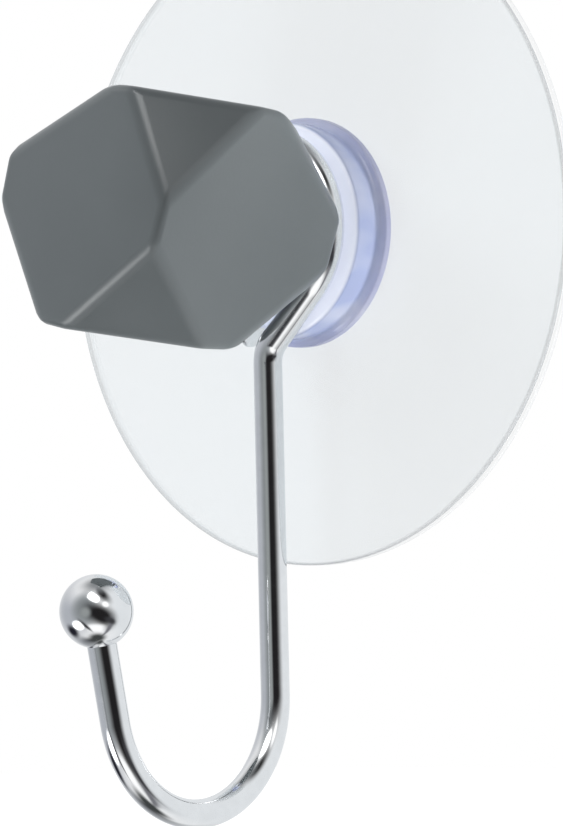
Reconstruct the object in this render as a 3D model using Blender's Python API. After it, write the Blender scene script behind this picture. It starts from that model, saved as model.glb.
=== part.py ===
"""Adhesive wall hook: a clear self-adhesive disc with a moulded boss, a swivelling chrome wire
hook with a ball tip, and a faceted knob screwed on a stud. Metres, +Z up, wall at Y = 0, the
hook stands out towards -Y. The origin is the centre of the disc's adhesive back."""

import math

import bmesh
import bpy
from mathutils import Matrix, Vector

# Driving dimensions
disc_diameter = 0.070
gel_thickness = 0.0005
film_thickness = 0.0006
film_edge_radius = 0.0002
seat_gap = 0.0003            # between pieces that rest on each other
running_gap = 0.0003         # between the wire's eye and what it turns on

boss_diameter = 0.0242
boss_front_out = 0.0062      # front face of the boss, measured out from the wall
boss_edge_radius = 0.0005
boss_foot_radius = 0.0008    # concave fillet where the boss meets its foot ring
boss_foot_width = 0.0007
boss_foot_height = 0.0009
post_diameter = 0.0148
stud_diameter = 0.0080
stud_length = 0.0165         # beyond the post's shoulder
stud_chamfer = 0.0006
stud_neck_diameter = 0.0070
stud_neck_length = 0.0014

wire_diameter = 0.0030
eye_leg_angle = math.radians(43.0)     # of the eye's straight legs above the horizontal
bend_radius = 0.0032
tail_clearance = 0.0006      # from the tail's cut end to the leg beside it
j_radius = 0.0118
j_bottom_drop = 0.0602       # from the eye's centre to the middle of the wire at the bottom
tip_lean = math.radians(11.5)
ball_diameter = 0.0074
ball_centre_drop = 0.0395    # below the eye's centre
ball_bore_depth = 0.0046     # from the ball's underside
ball_bore_gap = 0.0003

knob_width = 0.0240
knob_depth = 0.0258
knob_spin = math.radians(17.5)         # clockwise seen from the front
# each facet (a, b, c) lies where a * across + b * out + c * up = 1, measured from the knob's
# centre in half widths across and up and in half depths out
knob_sides = ((1.01, 0.01, -0.07), (-0.13, -0.08, 0.96), (-1.05, 0, 0), (0.06, -0.01, -1.05))
knob_front_corners = ((0.46, 0.43, 0.35), (-0.44, 0.40, 0.58), (-0.52, 0.48, -0.44), (0.51, 0.48, -0.49))
knob_back_corners = ((0.40, -0.45, 0.47), (-0.48, -0.39, 0.48), (-0.50, -0.40, -0.50), (0.52, -0.42, -0.52))
knob_edge_round = 0.0010
knob_wall = 0.0022
knob_socket_diameter = 0.0130
knob_socket_lead_in = 0.0005
knob_rib_thickness = 0.0014
knob_rib_setback = 0.0020    # the ribs stop this far inside the knob's open back
socket_gap = 0.0003
socket_bottom_gap = 0.0010   # from the stud's end to the bottom of its socket

disc_sides = 128
boss_sides = 96
stud_sides = 40
wire_facet_degrees = 7.0
arc_step = math.radians(wire_facet_degrees)

# Sizes that follow from them
film_back_out = gel_thickness + seat_gap
film_front_out = film_back_out + film_thickness
boss_back_out = film_front_out + seat_gap
wire_radius = wire_diameter / 2
wire_out = boss_front_out + running_gap + wire_radius
eye_radius = post_diameter / 2 + running_gap + wire_radius
knob_back_out = wire_out + wire_radius + running_gap
post_front_out = knob_back_out - seat_gap
stud_end_out = post_front_out + stud_length
half_width = knob_width / 2
half_depth = knob_depth / 2
knob_centre_out = knob_back_out + half_depth
socket_end_out = stud_end_out + socket_bottom_gap


def clear_scene():
    for old in list(bpy.data.objects):
        bpy.data.objects.remove(old, do_unlink=True)


def material(name, colour, roughness, metallic=0.0, alpha=1.0):
    made = bpy.data.materials.new(name)
    made.use_nodes = True
    shader = made.node_tree.nodes["Principled BSDF"]
    shader.inputs["Base Color"].default_value = (*colour, 1.0)
    shader.inputs["Roughness"].default_value = roughness
    shader.inputs["Metallic"].default_value = metallic
    shader.inputs["Alpha"].default_value = alpha
    return made


def place(mesh_or_curve, name, finish=None, smooth_under=None):
    """Link an object, give it its finish, and shade its round faces smooth."""
    thing = bpy.data.objects.new(name, mesh_or_curve)
    bpy.context.scene.collection.objects.link(thing)
    if finish:
        mesh_or_curve.materials.append(finish)
    if smooth_under:
        mesh_or_curve.shade_smooth()
        mesh_or_curve.set_sharp_from_angle(angle=math.radians(smooth_under))
    return thing


def as_tool(thing):
    """A cutter or a core: it shapes another object and is not a piece itself."""
    thing.hide_render = True
    thing.display_type = "WIRE"
    return thing


def boolean(target, tool, operation):
    step = target.modifiers.new(f"{operation.lower()} {tool.name}", "BOOLEAN")
    step.operation = operation
    step.solver = "EXACT"
    step.object = tool


def fillet(centre, radius, start, end, steps):
    """Points of an arc in the (radius, out) plane of a turned profile, angles in degrees."""
    points = []
    for i in range(steps + 1):
        angle = math.radians(start + (end - start) * i / steps)
        points.append((centre[0] + radius * math.cos(angle), centre[1] + radius * math.sin(angle)))
    return points


def turned_mesh(name, profile, sides):
    """Spin a (radius, out) profile that starts and ends on the wall normal into a closed solid."""
    shape = bmesh.new()
    corners = [shape.verts.new((radius, -out, 0.0)) for radius, out in profile]
    edges = [shape.edges.new(pair) for pair in zip(corners, corners[1:])]
    bmesh.ops.spin(shape, geom=corners + edges, cent=(0, 0, 0), axis=(0, 1, 0),
                   angle=math.tau, steps=sides, use_duplicate=False)
    bmesh.ops.remove_doubles(shape, verts=shape.verts, dist=1e-6)
    bmesh.ops.recalc_face_normals(shape, faces=shape.faces)
    mesh = bpy.data.meshes.new(name)
    shape.to_mesh(mesh)
    shape.free()
    return mesh


# Adhesive and film
def adhesive_layer():
    rim = disc_diameter / 2
    profile = [(0, 0), (rim, 0), (rim, gel_thickness), (0, gel_thickness)]
    finish = material("clear gel adhesive", (0.82, 0.85, 0.86), 0.35, alpha=0.35)
    place(turned_mesh("adhesive_layer", profile, disc_sides), "adhesive_layer", finish, 40)


def film_disc():
    rim = disc_diameter / 2
    edge = film_edge_radius
    profile = [(0, film_back_out), (rim, film_back_out)]
    profile += fillet((rim - edge, film_front_out - edge), edge, 0, 90, 3)
    profile += [(0, film_front_out)]
    finish = material("clear vinyl film", (0.84, 0.87, 0.89), 0.12, alpha=0.3)
    place(turned_mesh("film_disc", profile, disc_sides), "film_disc", finish, 40)


# Boss, post and stud, moulded in one clear piece
def base():
    wall = boss_diameter / 2 - boss_foot_width
    rim = boss_diameter / 2
    foot_top = boss_back_out + boss_foot_height
    post = post_diameter / 2
    stud = stud_diameter / 2
    neck = stud_neck_diameter / 2
    neck_top = post_front_out + stud_neck_length
    edge = boss_edge_radius
    profile = [(0, boss_back_out), (rim, boss_back_out), (rim, foot_top - boss_edge_radius / 2)]
    profile += [(rim - boss_edge_radius / 2, foot_top)]
    profile += fillet((wall + boss_foot_width - edge / 2, foot_top + boss_foot_radius),
                      boss_foot_radius, 270, 215, 4)[1:]
    profile += [(wall, foot_top + boss_foot_radius + edge)]
    profile += fillet((wall - edge, boss_front_out - edge), edge, 0, 90, 4)
    profile += [(post, boss_front_out), (post, post_front_out), (neck, post_front_out)]
    profile += [(neck, neck_top), (stud, neck_top + (stud - neck))]
    profile += [(stud, stud_end_out - stud_chamfer), (stud - stud_chamfer, stud_end_out)]
    profile += [(0, stud_end_out)]
    finish = material("clear moulded base", (0.72, 0.76, 0.86), 0.1, alpha=0.5)
    place(turned_mesh("base", profile, boss_sides), "base", finish, 35)


# Wire hook: tail, eye round the post, leg, bend, stem, J and leaning tip
def arc_points(centre, across, up, radius, start, end):
    """Points of an arc; the angle turns from the direction across towards the direction up."""
    steps = max(2, math.ceil(abs(end - start) / arc_step))
    points = []
    for i in range(steps + 1):
        angle = start + (end - start) * i / steps
        points.append(centre + across * (radius * math.cos(angle)) + up * (radius * math.sin(angle)))
    return points


def ball_centre():
    """The ball sits on the leaning tip, at its own height."""
    j_centre_out = wire_out + j_radius
    arc_end_out = j_centre_out + j_radius * math.cos(tip_lean)
    arc_end_drop = j_bottom_drop - j_radius + j_radius * math.sin(tip_lean)
    rise = arc_end_drop - ball_centre_drop
    return Vector((0, -(arc_end_out + rise * math.tan(tip_lean)), -ball_centre_drop))


def wire_path():
    right, up, out = Vector((1, 0, 0)), Vector((0, 0, 1)), Vector((0, -1, 0))
    eye = out * wire_out
    leg_drop = eye_radius / math.cos(eye_leg_angle)      # where the legs' lines meet the stem's line
    corner = eye - up * leg_drop
    leg = (right * math.cos(eye_leg_angle) + up * math.sin(eye_leg_angle))
    # the tail is the mirrored leg, cut short of the leg on the other side
    tail = (-right * math.cos(eye_leg_angle) + up * math.sin(eye_leg_angle))
    tail_start = (wire_radius + tail_clearance) / math.sin(math.pi - 2 * eye_leg_angle)
    points = [corner + tail * tail_start]
    # over the top of the post, from the left tangent point to the right one
    points += arc_points(eye, right, up, eye_radius, 1.5 * math.pi - eye_leg_angle,
                         -math.pi / 2 + eye_leg_angle)
    # rounded bend from the leg into the stem
    turn = math.pi / 2 - eye_leg_angle
    setback = bend_radius * math.tan(turn / 2)
    bend_centre = corner - up * setback + right * bend_radius
    points += arc_points(bend_centre, right, up, bend_radius, math.pi - turn, math.pi)
    # down the stem, round the J and up the tip into the ball
    j_centre = Vector((0, 0, -(j_bottom_drop - j_radius))) + out * (wire_out + j_radius)
    points += arc_points(j_centre, -out, -up, j_radius, 0, math.pi - tip_lean)
    lean = (out * math.sin(tip_lean) + up * math.cos(tip_lean))
    tip_inside = ball_bore_depth - ball_diameter / 2 - ball_bore_gap
    points.append(ball_centre() + lean * tip_inside)
    return points


def wire_hook():
    path = wire_path()
    curve = bpy.data.curves.new("wire_hook", "CURVE")
    curve.dimensions = "3D"
    curve.bevel_depth = wire_radius
    curve.bevel_resolution = 6
    curve.render_resolution_u = 0
    curve.use_fill_caps = True
    spline = curve.splines.new("POLY")
    spline.points.add(len(path) - 1)
    for point, position in zip(spline.points, path):
        point.co = (*position, 1.0)
    spline.use_smooth = True
    place(curve, "wire_hook", material("chromed steel wire", (0.55, 0.56, 0.58), 0.08, metallic=1.0))


def ball_tip():
    """A ball with a blind bore, pressed on the wire's tip and leaning with it."""
    radius = ball_diameter / 2
    bore = wire_radius + ball_bore_gap
    mouth = math.degrees(math.asin(bore / radius))
    top = ball_bore_depth - math.sqrt(radius ** 2 - bore ** 2)
    profile = [(0, top), (bore, top)]
    profile += fillet((0, 0), radius, -90 + mouth, 90, 20)
    mesh = turned_mesh("ball_tip", profile, 40)
    lean = Matrix.Rotation(tip_lean, 4, "X") @ Matrix.Rotation(-math.pi / 2, 4, "X")
    mesh.transform(lean)
    finish = material("chromed ball", (0.55, 0.56, 0.58), 0.06, metallic=1.0)
    ball = place(mesh, "ball_tip", finish, 40)
    ball.location = ball_centre()


# Knob: a block cut to its side and corner facets, hollowed from the back
def facet_planes(inset):
    """Each facet as a point and an outward normal, moved inwards by inset."""
    planes = []
    for across, out, up in knob_sides + knob_front_corners + knob_back_corners:
        slope = Vector((across / half_width, -out / half_depth, up / half_width))
        normal = slope.normalized()
        planes.append((normal * (1 / slope.length - inset), normal))
    return planes


def faceted_block(name, inset, back_overrun):
    """The knob's outer form, or with an inset the hollow inside it, run out past the back."""
    shape = bmesh.new()
    bmesh.ops.create_cube(shape, size=1.0)
    front = half_depth - inset
    back = half_depth + back_overrun
    uncut = 2 * knob_width
    bmesh.ops.scale(shape, vec=(uncut, front + back, uncut), verts=shape.verts)
    bmesh.ops.translate(shape, vec=(0, (back - front) / 2, 0), verts=shape.verts)
    for point, normal in facet_planes(inset):
        parts = shape.verts[:] + shape.edges[:] + shape.faces[:]
        cut = bmesh.ops.bisect_plane(shape, geom=parts, dist=1e-7, plane_co=point,
                                     plane_no=normal, clear_outer=True)
        rim = [piece for piece in cut["geom_cut"] if isinstance(piece, bmesh.types.BMEdge)]
        bmesh.ops.edgeloop_fill(shape, edges=rim)
    bmesh.ops.recalc_face_normals(shape, faces=shape.faces)
    mesh = bpy.data.meshes.new(name)
    shape.to_mesh(mesh)
    shape.free()
    return mesh


def rib(name, along_x):
    """One of the two crossed ribs that tie the socket to the walls, short of the open back."""
    shape = bmesh.new()
    span = 1.1 * knob_width
    wide, tall = (span, knob_rib_thickness) if along_x else (knob_rib_thickness, span)
    bmesh.ops.create_cube(shape, size=1.0)
    bmesh.ops.scale(shape, vec=(wide, knob_depth, tall), verts=shape.verts)
    bmesh.ops.translate(shape, vec=(0, -knob_rib_setback, 0), verts=shape.verts)
    mesh = bpy.data.meshes.new(name)
    shape.to_mesh(mesh)
    shape.free()
    return mesh


def knob():
    holder = bpy.data.objects.new("knob_place", None)
    bpy.context.scene.collection.objects.link(holder)
    holder.location = (0, -knob_centre_out, 0)
    holder.rotation_euler = (0, knob_spin, 0)

    # the hollow, less the ribs and the socket that stand in it
    hollow = as_tool(place(faceted_block("hollow", knob_wall, knob_wall), "knob_hollow"))
    level_rib = as_tool(place(rib("level_rib", True), "knob_level_rib"))
    upright_rib = as_tool(place(rib("upright_rib", False), "knob_upright_rib"))
    socket = knob_socket_diameter / 2
    socket_profile = [(0, -half_depth), (socket, -half_depth), (socket, half_depth), (0, half_depth)]
    socket_wall = as_tool(place(turned_mesh("socket", socket_profile, stud_sides), "knob_socket"))
    for core in (level_rib, upright_rib, socket_wall):
        boolean(hollow, core, "DIFFERENCE")

    # the blind socket for the stud, with a lead-in at its mouth
    bore = stud_diameter / 2 + socket_gap
    depth = socket_end_out - knob_centre_out
    lead = knob_socket_lead_in
    bore_profile = [(0, -half_depth - lead), (bore + 2 * lead, -half_depth - lead)]
    bore_profile += [(bore, -half_depth + lead), (bore, depth), (0, depth)]
    bore_tool = as_tool(place(turned_mesh("bore", bore_profile, stud_sides), "knob_bore"))

    finish = material("satin grey plastic", (0.16, 0.18, 0.185), 0.45)
    body = place(faceted_block("knob", 0, 0), "knob", finish)
    rounding = body.modifiers.new("rounded edges", "BEVEL")
    rounding.width = knob_edge_round
    rounding.segments = 3
    rounding.limit_method = "ANGLE"
    rounding.angle_limit = math.radians(20)
    boolean(body, hollow, "DIFFERENCE")
    boolean(body, bore_tool, "DIFFERENCE")
    for piece in (hollow, level_rib, upright_rib, socket_wall, bore_tool, body):
        piece.parent = holder


def main():
    clear_scene()
    adhesive_layer()
    film_disc()
    base()
    wire_hook()
    ball_tip()
    knob()


main()
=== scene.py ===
import math

import bmesh
import bpy
from mathutils import Matrix, Vector


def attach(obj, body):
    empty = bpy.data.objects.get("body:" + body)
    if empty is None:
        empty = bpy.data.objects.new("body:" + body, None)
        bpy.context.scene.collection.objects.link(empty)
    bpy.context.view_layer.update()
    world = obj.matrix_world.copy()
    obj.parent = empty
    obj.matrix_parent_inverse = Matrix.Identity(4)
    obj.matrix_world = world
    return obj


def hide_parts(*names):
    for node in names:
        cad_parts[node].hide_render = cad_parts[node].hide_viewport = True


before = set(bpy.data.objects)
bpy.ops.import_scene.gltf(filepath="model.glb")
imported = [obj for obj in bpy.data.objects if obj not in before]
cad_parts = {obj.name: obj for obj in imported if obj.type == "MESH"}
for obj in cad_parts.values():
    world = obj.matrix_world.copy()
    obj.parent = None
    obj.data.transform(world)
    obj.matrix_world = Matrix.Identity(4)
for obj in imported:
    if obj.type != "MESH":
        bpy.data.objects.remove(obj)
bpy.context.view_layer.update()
scene = bpy.context.scene
mm = 0.001
right, up, out = Vector((1, 0, 0)), Vector((0, 0, 1)), Vector((0, -1, 0))
noiseSpan = (0.3, 0.7)   # a noise node's values lie mostly in here
print("frame loaded:", sorted(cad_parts))


# one socket of a node tree, so that shader maths reads as plain expressions
class Sock:
    def __init__(self, tree, link):
        self.tree = tree
        self.link = link

    def maths(self, operation, first, second):
        return self.tree.node("ShaderNodeMath", {"operation": operation}, {0: first, 1: second})

    def __add__(self, other):
        return self.maths("ADD", self, other)

    def __radd__(self, other):
        return self.maths("ADD", other, self)

    def __sub__(self, other):
        return self.maths("SUBTRACT", self, other)

    def __rsub__(self, other):
        return self.maths("SUBTRACT", other, self)

    def __mul__(self, other):
        return self.maths("MULTIPLY", self, other)

    def __rmul__(self, other):
        return self.maths("MULTIPLY", other, self)

    def __pow__(self, other):
        return self.maths("POWER", self, other)

    def most(self, other):
        return self.maths("MAXIMUM", self, other)


# a node tree whose every node comes from one method
class Tree:
    def __init__(self, owner):
        owner.use_nodes = True
        self.nodes = owner.node_tree.nodes
        self.links = owner.node_tree.links
        self.nodes.clear()

    def node(self, kind, settings=None, inputs=None, output=0):
        made = self.nodes.new(kind)
        for name, value in (settings or {}).items():
            setattr(made, name, value)
        for name, value in (inputs or {}).items():
            socket = made.inputs[name]
            if isinstance(value, Sock):
                self.links.new(value.link, socket)
            elif socket.type == "RGBA" and len(value) == 3:
                socket.default_value = (*value, 1)
            else:
                socket.default_value = value
        if made.outputs:
            return Sock(self, made.outputs[output])

    def blend(self, factor, first, second):         # 6, 7 and 2 are the Mix node's colours
        return self.node("ShaderNodeMix", {"data_type": "RGBA"},
                         {0: factor, 6: first, 7: second}, 2)

    def place(self):                                # in metres, on the piece
        return self.node("ShaderNodeTexCoord", output="Object")

    def axis(self, name):
        return self.node("ShaderNodeSeparateXYZ", {}, {0: self.place()}, name)

    def noise(self, scale, detail=2.0, stretch=(1, 1, 1)):
        vector = self.node("ShaderNodeMapping", {}, {"Vector": self.place(), "Scale": stretch})
        return self.node("ShaderNodeTexNoise", {},
                         {"Vector": vector, "Scale": scale, "Detail": detail})

    def stretched(self, value, low, high, toLow=0.0, toHigh=1.0):
        return self.node("ShaderNodeMapRange", {},
                         {0: value, 1: low, 2: high, 3: toLow, 4: toHigh})

    def bump(self, height, distance, strength):
        return self.node("ShaderNodeBump", {},
                         {"Height": height, "Distance": distance, "Strength": strength})

    def finish(self, shader, kind="ShaderNodeOutputMaterial"):
        self.node(kind, {}, {0: shader})

    def surface(self, inputs):
        self.finish(self.node("ShaderNodeBsdfPrincipled", {}, inputs))


def newMaterial(name):
    made = bpy.data.materials.new(name)
    return made, Tree(made)


def distanceFromAxis(tree):     # millimetres from the disc's own axis
    x, z = tree.axis("X"), tree.axis("Z")
    return (x * x + z * z) ** 0.5 * 1000


def shaded(colour, share):
    return tuple(c * share for c in colour)


def towards(azimuth, elevation):                # degrees, azimuth 0 lies in front of the wall
    around, lift = math.radians(azimuth), math.radians(elevation)
    return Vector((math.sin(around) * math.cos(lift), -math.cos(around) * math.cos(lift),
                   math.sin(lift)))


# camera, where the photograph's was
cameraSetup = {
    "azimuth": 43.11, "elevation": -3.06, "roll": -1.30, "distance": 0.450,
    "focalPixels": 4258, "originPixel": (316.8, 234.0), "framePixels": (563, 826),
    "sensor": 36, "clip": (0.01, 20),
}


def makeCamera(c):
    back = towards(c["azimuth"], c["elevation"])
    side = up.cross(back).normalized()
    top = back.cross(side)
    roll = math.radians(c["roll"])
    across = side * math.cos(roll) + top * math.sin(roll)
    upward = top * math.cos(roll) - side * math.sin(roll)
    wide, tall = c["framePixels"]
    shiftX = (c["originPixel"][0] - wide / 2) / c["focalPixels"] * c["distance"]
    shiftY = (tall / 2 - c["originPixel"][1]) / c["focalPixels"] * c["distance"]
    lens = bpy.data.cameras.new("photoCamera")
    lens.sensor_width = c["sensor"]
    lens.lens = c["focalPixels"] / tall * c["sensor"]
    lens.clip_start, lens.clip_end = c["clip"]
    holder = bpy.data.objects.new("photoCamera", lens)
    scene.collection.objects.link(holder)
    spot = back * c["distance"] - across * shiftX - upward * shiftY
    turn = Matrix((across, upward, back)).transposed().to_4x4()
    holder.matrix_world = Matrix.Translation(spot) @ turn
    scene.camera = holder


makeCamera(cameraSetup)
scene.view_settings.view_transform = "Standard"
print("camera placed")


# studio: white room, soft lights, and a dome of soft patches that only the shiny pieces mirror
studioSetup = {
    "roomFill": 0.42,
    "floorHeight": -0.30, "floorSize": 12.0, "floorGlow": 0.82, "floorColour": 0.85,
    # name, direction, distance, size, level on a white surface that faces the lamp
    "lights": (
        ("rightLight", (0.70, 0.68, -0.20), 0.7, 0.30, 0.90),
        ("leftLight", (-0.60, -0.45, 0.62), 1.1, 0.60, 0.48),
        ("lowLight", (-0.20, -0.60, -0.50), 0.35, 0.14, 0.22),
    ),
    "domeRadius": 1.6, "domeStep": 3,
    # name, centre (azimuth from the camera's, elevation), half width and height, tilt, softness,
    # squareness, colour; each lies over those before it
    "patches": (
        ("lowCorner", (-159, -59), (57, 25), -22, 0.52, 2, (0.02, 0.02, 0.02)),
        ("rightWall", (115, 4), (76, 65), 0, 0.49, 6, (0.84, 0.865, 0.885)),
        ("leftWall", (-94, -10), (66, 44), 0, 0.78, 4, (0.49, 0.51, 0.55)),
        ("shoulder", (-37, 5), (38, 47), 13, 0.54, 2, (0.29, 0.31, 0.32)),
        ("cameraShade", (15, -13), (54, 29), -27, 0.55, 2, (0.018, 0.017, 0.018)),
        ("upperShade", (26, 61), (21, 38), 31, 0.59, 2, (0.01, 0.01, 0.01)),
        ("lowLeftShade", (-113, -37), (23, 12), -12, 0.50, 2, (0.02, 0.02, 0.03)),
        ("lowRightShade", (57, -52), (10, 30), 6, 0.70, 2, (0.20, 0.20, 0.22)),
        ("rightShade", (50, -28), (21, 8), -14, 0.55, 2, (0.05, 0.05, 0.055)),
        ("ceiling", (0, 90), (900, 27), 0, 0.80, 6, (0.27, 0.28, 0.29)),
        ("ground", (0, -90), (900, 17), 0, 0.50, 6, (0.06, 0.065, 0.065)),
        ("lowBand", (-4, -53), (36, 11), -3, 0.49, 4, (1.20, 1.20, 1.20)),
        ("keyWindow", (-11, 43), (20, 10), -24, 0.45, 3, (6.0, 6.0, 6.0)),
        ("smallWindow", (31, 19), (11, 8), -17, 0.41, 2, (1.30, 1.30, 1.30)),
        ("lowWindow", (-70, -36), (17, 9), -12, 0.60, 2, (5.5, 5.5, 5.5)),
        ("legShade", (-42, -43), (25, 6), -50, 0.55, 2, (0.04, 0.04, 0.045)),
        ("spot", (-33, -4), (15, 14), -1, 0.59, 2, (0.33, 0.35, 0.35)),
    ),
}


def seenDirectly(tree):         # 1 for what the camera sees, mirrored and through clear plastic too
    rays = [tree.node("ShaderNodeLightPath", output=name) for name in
            ("Is Camera Ray", "Is Glossy Ray", "Is Transmission Ray")]
    return rays[0].most(rays[1]).most(rays[2])


def makeRoom(s):
    world = bpy.data.worlds.new("whiteRoom")
    scene.world = world
    tree = Tree(world)
    level = tree.stretched(seenDirectly(tree), 0, 1, s["roomFill"], 1.0)
    tree.finish(tree.node("ShaderNodeBackground", {}, {0: (1, 1, 1), 1: level}),
                "ShaderNodeOutputWorld")

    mesh = bpy.data.meshes.new("floor")
    shape = bmesh.new()
    bmesh.ops.create_grid(shape, x_segments=2, y_segments=2, size=s["floorSize"] / 2)
    shape.to_mesh(mesh)
    shape.free()
    floor = bpy.data.objects.new("floor", mesh)
    floor.location.z = s["floorHeight"]
    scene.collection.objects.link(floor)
    paint, tree = newMaterial("paleFloor")
    matt = tree.node("ShaderNodeBsdfDiffuse", {}, {0: (s["floorColour"],) * 3})
    glow = tree.node("ShaderNodeEmission", {}, {0: (1, 1, 1), 1: s["floorGlow"]})
    bright = tree.node("ShaderNodeAddShader", {}, {0: matt, 1: glow})
    tree.finish(tree.node("ShaderNodeMixShader", {}, {0: seenDirectly(tree), 1: matt, 2: bright}))
    mesh.materials.append(paint)
    floor.visible_glossy = False


def makeLights(s):
    for name, direction, distance, size, level in s["lights"]:
        lamp = bpy.data.lights.new(name, "AREA")
        lamp.shape = "DISK"
        lamp.size = size
        lamp.energy = level * math.pi ** 2 * distance ** 2
        holder = bpy.data.objects.new(name, lamp)
        holder.location = Vector(direction).normalized() * distance
        holder.rotation_mode = "QUATERNION"
        holder.rotation_quaternion = Vector(direction).to_track_quat("Z", "Y")
        holder.visible_glossy = False
        scene.collection.objects.link(holder)


def domeColour(s, azimuth, elevation):
    mixed = Vector((1, 1, 1))
    for name, centre, halfSize, tilt, softness, squareness, colour in s["patches"]:
        aside = (azimuth - centre[0] + 180) % 360 - 180
        above = elevation - centre[1]
        turn = math.radians(tilt)
        u = (aside * math.cos(turn) + above * math.sin(turn)) / halfSize[0]
        v = (above * math.cos(turn) - aside * math.sin(turn)) / halfSize[1]
        spread = (abs(u) ** squareness + abs(v) ** squareness) ** (1 / squareness)
        fade = min(1, max(0, (1 + softness - spread) / (2 * softness)))
        mixed = mixed.lerp(Vector(colour), fade * fade * (3 - 2 * fade))
    return mixed


def makeDome(s):
    shape = bmesh.new()
    tone = shape.verts.layers.float_color.new("tone")
    step, rows = s["domeStep"], []
    for elevation in range(-90, 91, step):
        row = []
        for azimuth in range(-180, 180, step):
            spot = towards(cameraSetup["azimuth"] + azimuth, elevation) * s["domeRadius"]
            corner = shape.verts.new(spot)
            corner[tone] = (*domeColour(s, azimuth, elevation), 1)
            row.append(corner)
        rows.append(row)
    for low, high in zip(rows, rows[1:]):
        for i in range(len(low)):
            shape.faces.new((low[i - 1], low[i], high[i], high[i - 1]))
    mesh = bpy.data.meshes.new("mirroredDome")
    shape.to_mesh(mesh)
    shape.free()
    dome = bpy.data.objects.new("mirroredDome", mesh)
    scene.collection.objects.link(dome)
    for ray in ("camera", "diffuse", "transmission", "shadow", "volume_scatter"):
        setattr(dome, f"visible_{ray}", False)
    paint, tree = newMaterial("mirroredDome")
    glow = tree.node("ShaderNodeAttribute", {"attribute_name": "tone"})
    tree.finish(tree.node("ShaderNodeEmission", {}, {0: glow, 1: 1.0}))
    mesh.materials.append(paint)


makeRoom(studioSetup)
makeLights(studioSetup)
makeDome(studioSetup)
print("studio ready")


# shapes shared by the pieces
def addPiece(name, data, material, body, replaced, smoothUnder=40):
    piece = bpy.data.objects.new(name, data)
    scene.collection.objects.link(piece)
    data.materials.append(material)
    if isinstance(data, bpy.types.Mesh):
        data.shade_smooth()
        data.set_sharp_from_angle(angle=math.radians(smoothUnder))
    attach(piece, body)
    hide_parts(*replaced)


def arc(centre, radius, start, end, steps):     # profile points, angles in degrees
    points = []
    for i in range(steps + 1):
        angle = math.radians(start + (end - start) * i / steps)
        points.append((centre[0] + radius * math.cos(angle), centre[1] + radius * math.sin(angle)))
    return points


def turnedMesh(name, profile, sides):           # (radius, out) profile spun on the wall normal
    shape = bmesh.new()
    corners = [shape.verts.new((radius, -away, 0)) for radius, away in profile]
    edges = [shape.edges.new(pair) for pair in zip(corners, corners[1:])]
    bmesh.ops.spin(shape, geom=corners + edges, cent=(0, 0, 0), axis=(0, 1, 0),
                   angle=math.tau, steps=sides, use_duplicate=False)
    bmesh.ops.remove_doubles(shape, verts=shape.verts, dist=1e-7)
    bmesh.ops.recalc_face_normals(shape, faces=shape.faces)
    mesh = bpy.data.meshes.new(name)
    shape.to_mesh(mesh)
    shape.free()
    return mesh


# clear film and the gel on its back
discSetup = {
    "rim": 35 * mm, "gelThickness": 0.5 * mm, "filmBack": 0.8 * mm, "filmFront": 1.4 * mm,
    "edgeRound": 0.22 * mm, "edgeSteps": 6, "sides": 256,
    "filmColour": (0.63, 0.75, 0.82), "filmPaler": 1.05, "filmAlpha": 0.13, "filmBend": 1.5,
    "filmRoughness": (0.12, 0.18), "filmHaze": 30, "filmHazeAlpha": 0.03,
    "filmRimShade": (0.35, 0.1),     # the rim's painted shade, darker and more opaque, starts and is full so many millimetres in
    # painted shade at the disc's edge: a darker colour and more alpha on the film, more alpha on
    # the gel
    "rimColour": (0.42, 0.45, 0.47), "rimShadeAlpha": 0.40,
    "gelColour": (0.72, 0.76, 0.78), "gelAlpha": 0.05, "gelBend": 1.45,
    "gelRoughness": (0.3, 0.4), "gelHaze": 45, "gelHazeAlpha": 0.02,
    "gelRimShade": (0.3, 0.05), "gelRimShadeAlpha": 0.1,
}


# the edge band where painted shade darkens the clear film and gel
def rimShadeMask(tree, rim, start, full):
    return tree.stretched(distanceFromAxis(tree), rim / mm - start, rim / mm - full)


def filmMaterial(d):
    made, tree = newMaterial("clearFilm")
    edge = rimShadeMask(tree, d["rim"], *d["filmRimShade"])
    haze = tree.noise(d["filmHaze"])
    face = tree.blend(tree.stretched(haze, *noiseSpan), d["filmColour"],
                      shaded(d["filmColour"], d["filmPaler"]))
    alpha = d["filmAlpha"] + (haze - 0.5) * d["filmHazeAlpha"]
    # edge lays the rim's painted shade over the film
    tree.surface({
        "Base Color": tree.blend(edge, face, d["rimColour"]),
        "Roughness": tree.stretched(haze, *noiseSpan, *d["filmRoughness"]),
        "Alpha": alpha + edge * (d["rimShadeAlpha"] - d["filmAlpha"]), "IOR": d["filmBend"]})
    return made


def gelMaterial(d):
    made, tree = newMaterial("clearGel")
    edge = rimShadeMask(tree, d["rim"], *d["gelRimShade"])
    haze = tree.noise(d["gelHaze"])
    alpha = d["gelAlpha"] + (haze - 0.5) * d["gelHazeAlpha"]
    # edge lays the rim's painted shade over the gel
    tree.surface({
        "Base Color": d["gelColour"],
        "Roughness": tree.stretched(haze, *noiseSpan, *d["gelRoughness"]),
        "Alpha": alpha + edge * d["gelRimShadeAlpha"], "IOR": d["gelBend"]})
    return made


def makeDisc(d):
    rim, edge, steps = d["rim"], d["edgeRound"], d["edgeSteps"]
    gel = [(0, 0), (rim, 0), (rim, d["gelThickness"]), (0, d["gelThickness"])]
    addPiece("clear_gel", turnedMesh("clear_gel", gel, d["sides"]), gelMaterial(d),
             "base", ["adhesive_layer"])
    film = [(0, d["filmBack"])]
    film += arc((rim - edge, d["filmBack"] + edge), edge, -90, 0, steps)
    film += arc((rim - edge, d["filmFront"] - edge), edge, 0, 90, steps)
    film += [(0, d["filmFront"])]
    addPiece("clear_film", turnedMesh("clear_film", film, d["sides"]), filmMaterial(d),
             "base", ["film_disc"])


makeDisc(discSetup)
print("disc made")


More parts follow.
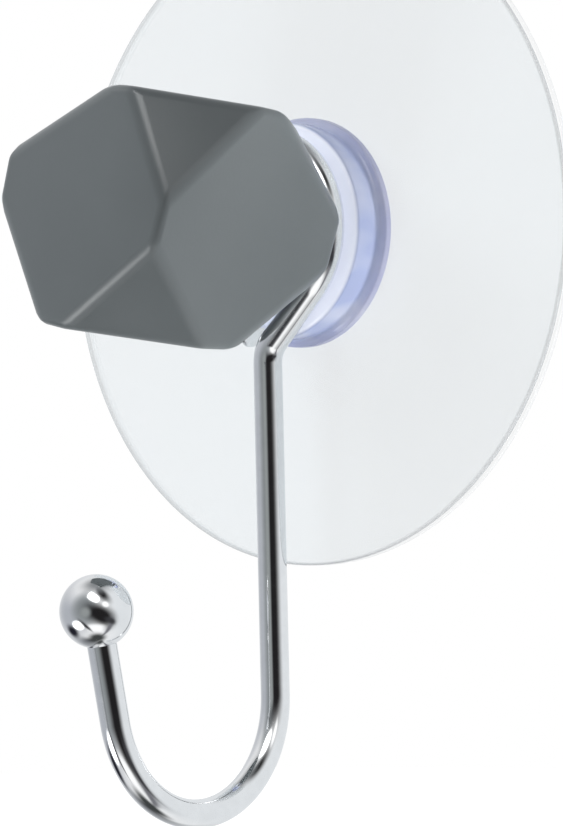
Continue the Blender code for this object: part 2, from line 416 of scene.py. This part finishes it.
# clear boss with its foot ring, post and plain stud
baseSetup = {
    "back": 1.7 * mm, "rim": 12.1 * mm, "backBreak": 0.1 * mm,
    "footTop": 2.6 * mm, "footRound": 0.25 * mm, "fillet": 0.8 * mm, "filletInset": 0.1 * mm,
    "wall": 11.4 * mm, "wallStart": 1.2 * mm, "front": 6.2 * mm, "edge": 0.5 * mm,
    "post": 7.4 * mm, "postFront": 9.5 * mm, "neck": 3.5 * mm, "neckLength": 1.4 * mm,
    "stud": 4.0 * mm, "studStart": 1.9 * mm, "studEnd": 26.0 * mm, "studBreak": 0.6 * mm,
    "sides": 160,
    "sideColour": (0.45, 0.53, 0.82), "paleColour": (0.70, 0.75, 0.90),
    # the front's pale colour is partly the frosted face's own tone and partly painted highlight;
    # glow is painted light, emission standing in for light through the clear plastic
    "frontPaleAndHighlight": (0.78, 0.81, 0.88), "glow": (0.42, 0.44, 0.49),
    "frontHighlightEdge": (0.28, 0.06),      # the side's colour gives way so many millimetres below the front, to the pale front with painted highlight and painted glow
    "footColour": (0.56, 0.54, 0.69), "footShare": 0.6, "footEdge": (0.5, -0.3),
    "cloudScale": 190, "cloudStretch": (1, 0.6, 1), "cloudSpan": (0.42, 0.68),
    "cloudAlpha": 0.1, "cloudHeight": 0.06 * mm, "cloudBump": 0.3,
    "alpha": 0.75, "roughness": (0.06, 0.12), "bend": 1.49,
}


def clearMoulding(b):
    made, tree = newMaterial("clearMoulding")
    away = tree.axis("Y") * -1000
    cloud = tree.noise(b["cloudScale"], stretch=b["cloudStretch"])
    side = tree.blend(tree.stretched(cloud, *b["cloudSpan"]), b["sideColour"], b["paleColour"])
    # front marks the boss's front face, where the pale colour (partly frosted tone, partly painted
    # highlight) and the painted glow are laid on
    front = tree.stretched(away, *(b["front"] / mm - depth for depth in b["frontHighlightEdge"]))
    foot = tree.stretched(away, *(b["footTop"] / mm + rise for rise in b["footEdge"]))
    side = tree.blend(foot * b["footShare"], side, b["footColour"])
    tree.surface({
        "Base Color": tree.blend(front, side, b["frontPaleAndHighlight"]),
        "Roughness": tree.stretched(cloud, *noiseSpan, *b["roughness"]),
        "Emission Color": tree.blend(front, (0, 0, 0), b["glow"]), "Emission Strength": 1.0,
        "Alpha": b["alpha"] + (cloud - 0.5) * b["cloudAlpha"],
        "Normal": tree.bump(cloud, b["cloudHeight"], b["cloudBump"]), "IOR": b["bend"]})
    return made


def makeBase(b):
    rim, wall, edge = b["rim"], b["wall"], b["edge"]
    footTop, footRound, fillet = b["footTop"], b["footRound"], b["fillet"]
    profile = [(0, b["back"]), (rim - b["backBreak"], b["back"])]
    profile += [(rim, b["back"] + b["backBreak"])]
    profile += arc((rim - footRound, footTop - footRound), footRound, 0, 80, 6)
    profile += arc((rim - b["filletInset"], footTop + fillet), fillet, 250, 200, 8)[1:]
    profile += [(wall, footTop + b["wallStart"])]
    profile += arc((wall - edge, b["front"] - edge), edge, 0, 90, 8)
    profile += [(b["post"], b["front"]), (b["post"], b["postFront"])]
    profile += [(b["neck"], b["postFront"]), (b["neck"], b["postFront"] + b["neckLength"])]
    profile += [(b["stud"], b["postFront"] + b["studStart"])]
    profile += [(b["stud"], b["studEnd"] - b["studBreak"])]
    profile += [(b["stud"] - b["studBreak"], b["studEnd"]), (0, b["studEnd"])]
    addPiece("clear_base", turnedMesh("clear_base", profile, b["sides"]), clearMoulding(b),
             "base", ["base"])


makeBase(baseSetup)
print("base made")


# chromed wire: tail, eye, leg, bend, stem, J and leaning tip, with its ball
wireSetup = {
    "radius": 1.5 * mm, "away": 8.0 * mm, "eyeRadius": 9.2 * mm, "legAngle": 43.0,
    "tailGap": 0.6 * mm, "tailBreak": 0.25 * mm, "tailEnd": 0.86, "bendRadius": 3.2 * mm,
    "jRadius": 11.8 * mm, "jBottom": 60.2 * mm, "lean": 11.5,
    "ballDrop": 39.5 * mm, "ballRadius": 3.7 * mm, "ballBore": 4.6 * mm, "tipGap": 0.3 * mm,
    "boreGap": 0.04 * mm, "stepDegrees": 1.2, "bendStepDegrees": 2.4, "roundSteps": 20,
    "ballSides": 96, "ballSteps": 48,
    "colour": (0.86, 0.87, 0.88), "darker": 0.96, "toneSpan": (0.35, 0.65),
    "roughness": (0.06, 0.10), "wireGrain": 900, "ballGrain": 500,
}


def chromeMaterial(name, w, grainScale):
    made, tree = newMaterial(name)
    grain = tree.noise(grainScale, 3)
    tree.surface({
        "Base Color": tree.blend(tree.stretched(grain, *w["toneSpan"]),
                                 shaded(w["colour"], w["darker"]), w["colour"]),
        "Metallic": 1.0, "Roughness": tree.stretched(grain, *noiseSpan, *w["roughness"])})
    return made


def pathArc(centre, across, upward, radius, start, end, stepDegrees):
    steps = max(2, math.ceil(math.degrees(abs(end - start)) / stepDegrees))
    spots = []
    for i in range(steps + 1):
        angle = start + (end - start) * i / steps
        aside, above = radius * math.cos(angle), radius * math.sin(angle)
        spots.append(centre + across * aside + upward * above)
    return spots


def ballCentre(w):
    lean = math.radians(w["lean"])
    arcEndAway = w["away"] + w["jRadius"] * (1 + math.cos(lean))
    arcEndDrop = w["jBottom"] - w["jRadius"] * (1 - math.sin(lean))
    away = arcEndAway + (arcEndDrop - w["ballDrop"]) * math.tan(lean)
    return out * away - up * w["ballDrop"]


def wirePath(w):
    angle, lean = math.radians(w["legAngle"]), math.radians(w["lean"])
    step, eyeRadius, bendRadius = w["stepDegrees"], w["eyeRadius"], w["bendRadius"]
    eye = out * w["away"]
    corner = eye - up * (eyeRadius / math.cos(angle))
    tail = up * math.sin(angle) - right * math.cos(angle)
    tailStart = (w["radius"] + w["tailGap"]) / math.sin(math.pi - 2 * angle)
    spots = [corner + tail * tailStart, corner + tail * (tailStart + w["tailBreak"])]
    spots += pathArc(eye, right, up, eyeRadius, 1.5 * math.pi - angle, angle - math.pi / 2, step)
    turn = math.pi / 2 - angle
    bend = corner - up * (bendRadius * math.tan(turn / 2)) + right * bendRadius
    spots += pathArc(bend, right, up, bendRadius, math.pi - turn, math.pi, w["bendStepDegrees"])
    jCentre = out * (w["away"] + w["jRadius"]) - up * (w["jBottom"] - w["jRadius"])
    spots += pathArc(jCentre, -out, -up, w["jRadius"], 0, math.pi - lean, step)
    leaning = out * math.sin(lean) + up * math.cos(lean)
    spots.append(ballCentre(w) + leaning * (w["ballBore"] - w["ballRadius"] - w["tipGap"]))
    return spots


def makeWire(w):
    spots = wirePath(w)
    curve = bpy.data.curves.new("chrome_wire", "CURVE")
    curve.dimensions = "3D"
    curve.bevel_depth = w["radius"]
    curve.bevel_resolution = w["roundSteps"]
    curve.use_fill_caps = True
    spline = curve.splines.new("POLY")
    spline.points.add(len(spots) - 1)
    for point, spot in zip(spline.points, spots):
        point.co = (*spot, 1)
    spline.points[0].radius = w["tailEnd"]      # the tail's cut end is broken by a small chamfer
    spline.use_smooth = True
    addPiece("chrome_wire", curve, chromeMaterial("chromeWire", w, w["wireGrain"]),
             "hook", ["wire_hook"])


def makeBall(w):
    radius, bore = w["ballRadius"], w["radius"] + w["boreGap"]
    mouth = math.degrees(math.asin(bore / radius))
    depth = w["ballBore"] - math.sqrt(radius ** 2 - bore ** 2)
    profile = [(0, depth), (bore, depth)]
    profile += arc((0, 0), radius, mouth - 90, 90, w["ballSteps"])
    mesh = turnedMesh("chrome_ball", profile, w["ballSides"])
    mesh.transform(Matrix.Rotation(math.radians(w["lean"]) - math.pi / 2, 4, "X"))
    mesh.transform(Matrix.Translation(ballCentre(w)))
    addPiece("chrome_ball", mesh, chromeMaterial("chromeBall", w, w["ballGrain"]),
             "hook", ["ball_tip"])


makeWire(wireSetup)
makeBall(wireSetup)
print("wire and ball made")


# faceted knob, hollow behind, with a socket held by four ribs
knobSetup = {
    "width": 24.0 * mm, "depth": 25.8 * mm, "back": 9.8 * mm, "spin": 17.5,
    # each facet lies where a * across + b * out + c * up = 1, in half widths and half depths
    "facets": (
        (1.01, 0.01, -0.07), (-0.13, -0.08, 0.96), (-1.05, 0, 0), (0.06, -0.01, -1.05),
        (0.46, 0.43, 0.35), (-0.44, 0.40, 0.58), (-0.52, 0.48, -0.44), (0.51, 0.48, -0.49),
        (0.40, -0.45, 0.47), (-0.48, -0.39, 0.48), (-0.50, -0.40, -0.50), (0.52, -0.42, -0.52),
    ),
    "rounding": 1.0 * mm, "roundSteps": 6, "roundOver": 20, "smoothUnder": 28,
    "wall": 2.2 * mm, "rib": 1.4 * mm, "ribSpan": 1.1, "ribSetback": 2.0 * mm,
    "socket": 6.5 * mm, "bore": 4.3 * mm, "boreEnd": 27.0 * mm, "boreLeadIn": 0.5 * mm,
    "sides": 96,
    "colour": (0.132, 0.150, 0.157), "shades": (0.95, 1.05), "flowScale": 55,
    "roughness": (0.285, 0.33), "grainScale": 2600, "grainHeight": 0.02 * mm, "grainBump": 0.35,
    "bend": 1.58,
}


def knobMaterial(k):
    made, tree = newMaterial("satinGreyPlastic")
    grain = tree.noise(k["grainScale"])
    flow = tree.noise(k["flowScale"], 3)
    dark, light = (shaded(k["colour"], share) for share in k["shades"])
    tree.surface({
        "Base Color": tree.blend(tree.stretched(flow, *noiseSpan), dark, light),
        "Roughness": tree.stretched(flow, *noiseSpan, *k["roughness"]),
        "Normal": tree.bump(grain, k["grainHeight"], k["grainBump"]), "IOR": k["bend"]})
    return made


def facetPlanes(k, inset):
    planes = []
    halfWidth, halfDepth = k["width"] / 2, k["depth"] / 2
    for across, away, upward in k["facets"]:
        slope = Vector((across / halfWidth, -away / halfDepth, upward / halfWidth))
        normal = slope.normalized()
        planes.append((normal * (1 / slope.length - inset), normal))
    return planes


def boxShape(wide, deep, tall, shift):          # shift moves it towards the wall
    shape = bmesh.new()
    bmesh.ops.create_cube(shape, size=1)
    bmesh.ops.scale(shape, vec=(wide, deep, tall), verts=shape.verts)
    bmesh.ops.translate(shape, vec=(0, shift, 0), verts=shape.verts)
    return shape


def shapeToMesh(name, shape):
    mesh = bpy.data.meshes.new(name)
    shape.to_mesh(mesh)
    shape.free()
    return mesh


def facetedBlock(name, k, inset, overrun):      # overrun lengthens it towards the wall
    front = k["depth"] / 2 - inset
    back = k["depth"] / 2 + overrun
    shape = boxShape(2 * k["width"], front + back, 2 * k["width"], (back - front) / 2)
    for point, normal in facetPlanes(k, inset):
        everything = shape.verts[:] + shape.edges[:] + shape.faces[:]
        cut = bmesh.ops.bisect_plane(shape, geom=everything, dist=1e-7, plane_co=point,
                                     plane_no=normal, clear_outer=True)
        rim = [part for part in cut["geom_cut"] if isinstance(part, bmesh.types.BMEdge)]
        bmesh.ops.edgeloop_fill(shape, edges=rim)
    bmesh.ops.recalc_face_normals(shape, faces=shape.faces)
    return shapeToMesh(name, shape)


def ribMesh(name, k, wide, tall):
    return shapeToMesh(name, boxShape(wide, k["depth"], tall, -k["ribSetback"]))


def carve(target, tool):
    step = target.modifiers.new(tool.name, "BOOLEAN")
    step.operation, step.solver, step.object = "DIFFERENCE", "EXACT", tool


def bakeMesh(piece):             # the evaluated mesh, with its modifiers applied
    evaluated = piece.evaluated_get(bpy.context.evaluated_depsgraph_get())
    return bpy.data.meshes.new_from_object(evaluated)


def makeKnob(k):
    half, span = k["depth"] / 2, k["ribSpan"] * k["width"]
    tools = []

    def tool(mesh):
        helper = bpy.data.objects.new(mesh.name, mesh)
        scene.collection.objects.link(helper)
        tools.append(helper)
        return helper

    hollow = tool(facetedBlock("hollow", k, k["wall"], k["wall"]))
    levelRib = tool(ribMesh("levelRib", k, span, k["rib"]))
    uprightRib = tool(ribMesh("uprightRib", k, k["rib"], span))
    socketProfile = [(0, -half), (k["socket"], -half), (k["socket"], half), (0, half)]
    socket = tool(turnedMesh("socket", socketProfile, k["sides"]))
    for core in (levelRib, uprightRib, socket):
        carve(hollow, core)
    bore, leadIn, boreEnd = k["bore"], k["boreLeadIn"], k["boreEnd"] - k["back"] - half
    boreProfile = [(0, -half - mm), (bore + leadIn + mm, -half - mm), (bore, -half + leadIn),
                   (bore, boreEnd), (0, boreEnd)]
    boreTool = tool(turnedMesh("bore", boreProfile, k["sides"]))
    block = tool(facetedBlock("block", k, 0, 0))
    rounding = block.modifiers.new("rounding", "BEVEL")
    rounding.width, rounding.segments = k["rounding"], k["roundSteps"]
    rounding.limit_method, rounding.angle_limit = "ANGLE", math.radians(k["roundOver"])
    carve(block, hollow)
    carve(block, boreTool)
    bpy.context.view_layer.update()
    mesh = bakeMesh(block)
    mesh.name = "grey_knob"
    mesh.materials.clear()
    for helper in tools:
        bpy.data.objects.remove(helper, do_unlink=True)
    mesh.transform(Matrix.Rotation(math.radians(k["spin"]), 4, "Y"))
    mesh.transform(Matrix.Translation(out * (k["back"] + half)))
    addPiece("grey_knob", mesh, knobMaterial(k), "base", ["knob"],
             k["smoothUnder"])


makeKnob(knobSetup)
print("knob made")
